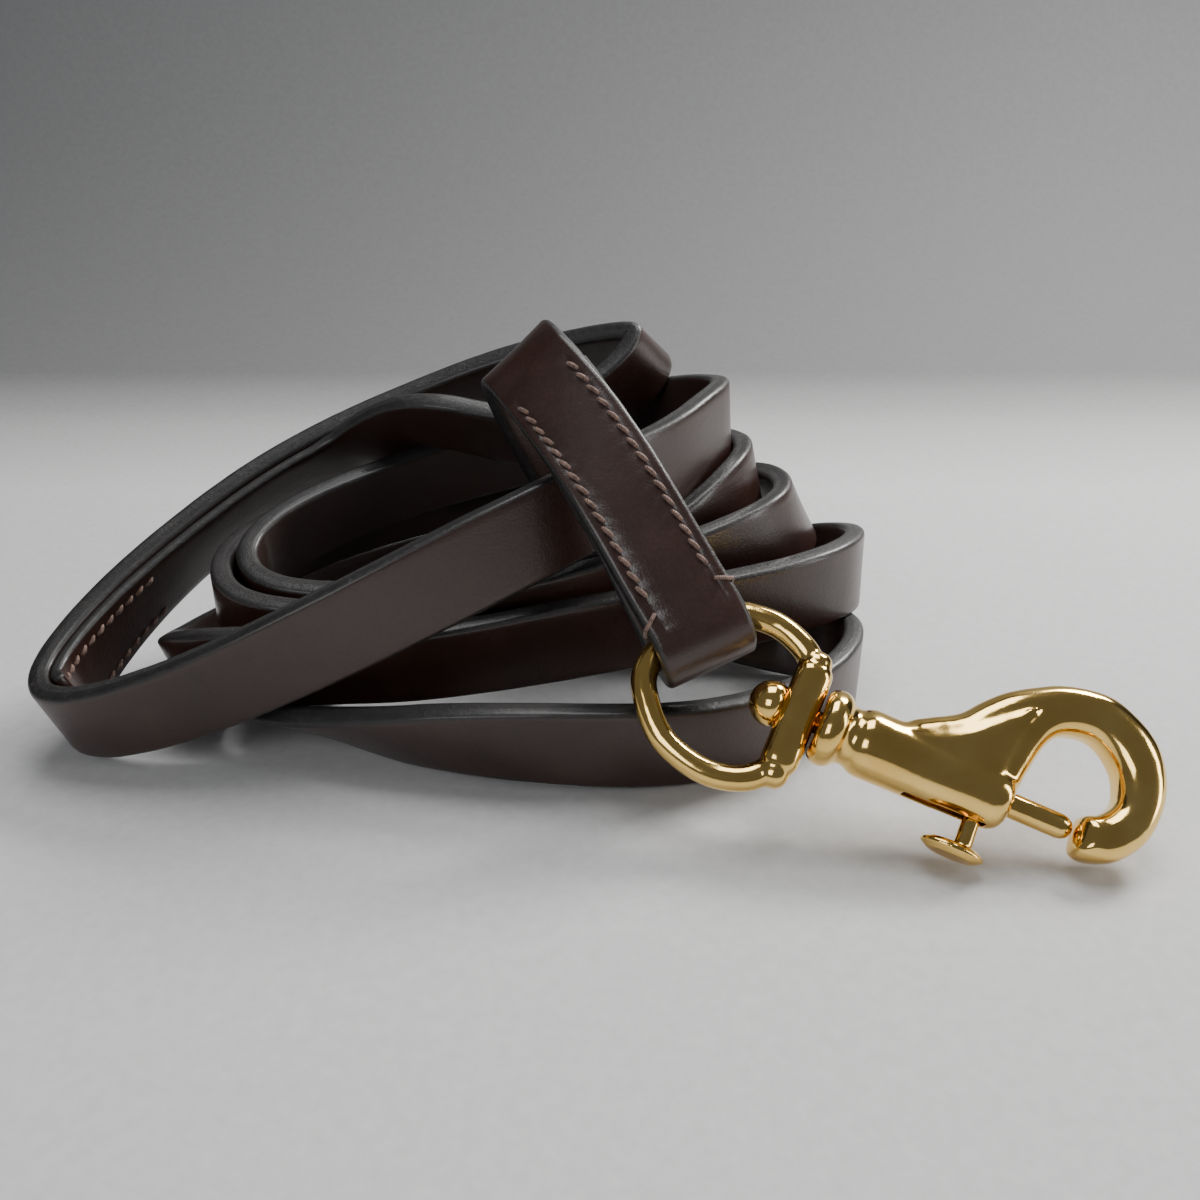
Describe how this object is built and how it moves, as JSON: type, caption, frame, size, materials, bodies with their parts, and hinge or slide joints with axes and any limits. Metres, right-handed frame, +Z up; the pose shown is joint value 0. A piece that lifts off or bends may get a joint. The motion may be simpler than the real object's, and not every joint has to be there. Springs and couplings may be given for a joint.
{
  "type": "dog training leash",
  "caption": "Flat leather training leash lying in a loose coil, with a sewn hand loop and a brass swivel bolt snap.",
  "frame": {"origin": "bottom centre of the bounding box of the coil with its snap", "axes": "+X from the coil towards the snap, +Y away from the side the snap lies on, +Z up"},
  "size_m": [0.1884, 0.1084, 0.0737],
  "materials": {
    "leather": "oiled bridle leather, soft gloss, dark burnished edges",
    "thread": "waxed thread",
    "brass": "polished"
  },
  "bodies": {
    "leash": {"leather_strap": "leather", "snap_end_thread_left": "thread", "snap_end_thread_right": "thread", "handle_thread_upper": "thread", "handle_thread_lower": "thread"},
    "eye": {"swivel_eye": "brass"},
    "snap": {"snap_body": "brass", "swivel_post": "brass"},
    "bolt": {"snap_bolt": "brass", "thumb_knob": "brass"}
  },
  "joints": [
    {"name": "eye_hinge", "type": "hinge", "parent": "leash", "child": "eye", "pos_m": [0.02219, -0.02536, 0.02925], "axis": [-0.9069, -0.2644, -0.3282], "range_deg": [0, 35]},
    {"name": "swivel", "type": "hinge", "parent": "eye", "child": "snap", "pos_m": [0.03916, -0.03564, 0.01868], "axis": [0.9101, -0.2977, -0.2881], "continuous": true},
    {"name": "bolt_slide", "type": "slide", "parent": "snap", "child": "bolt", "axis": [-0.9101, 0.2977, 0.2881], "range_m": [0, 0.007], "stiffness_N_per_m": 120, "springref_m": -0.004}
  ]
}
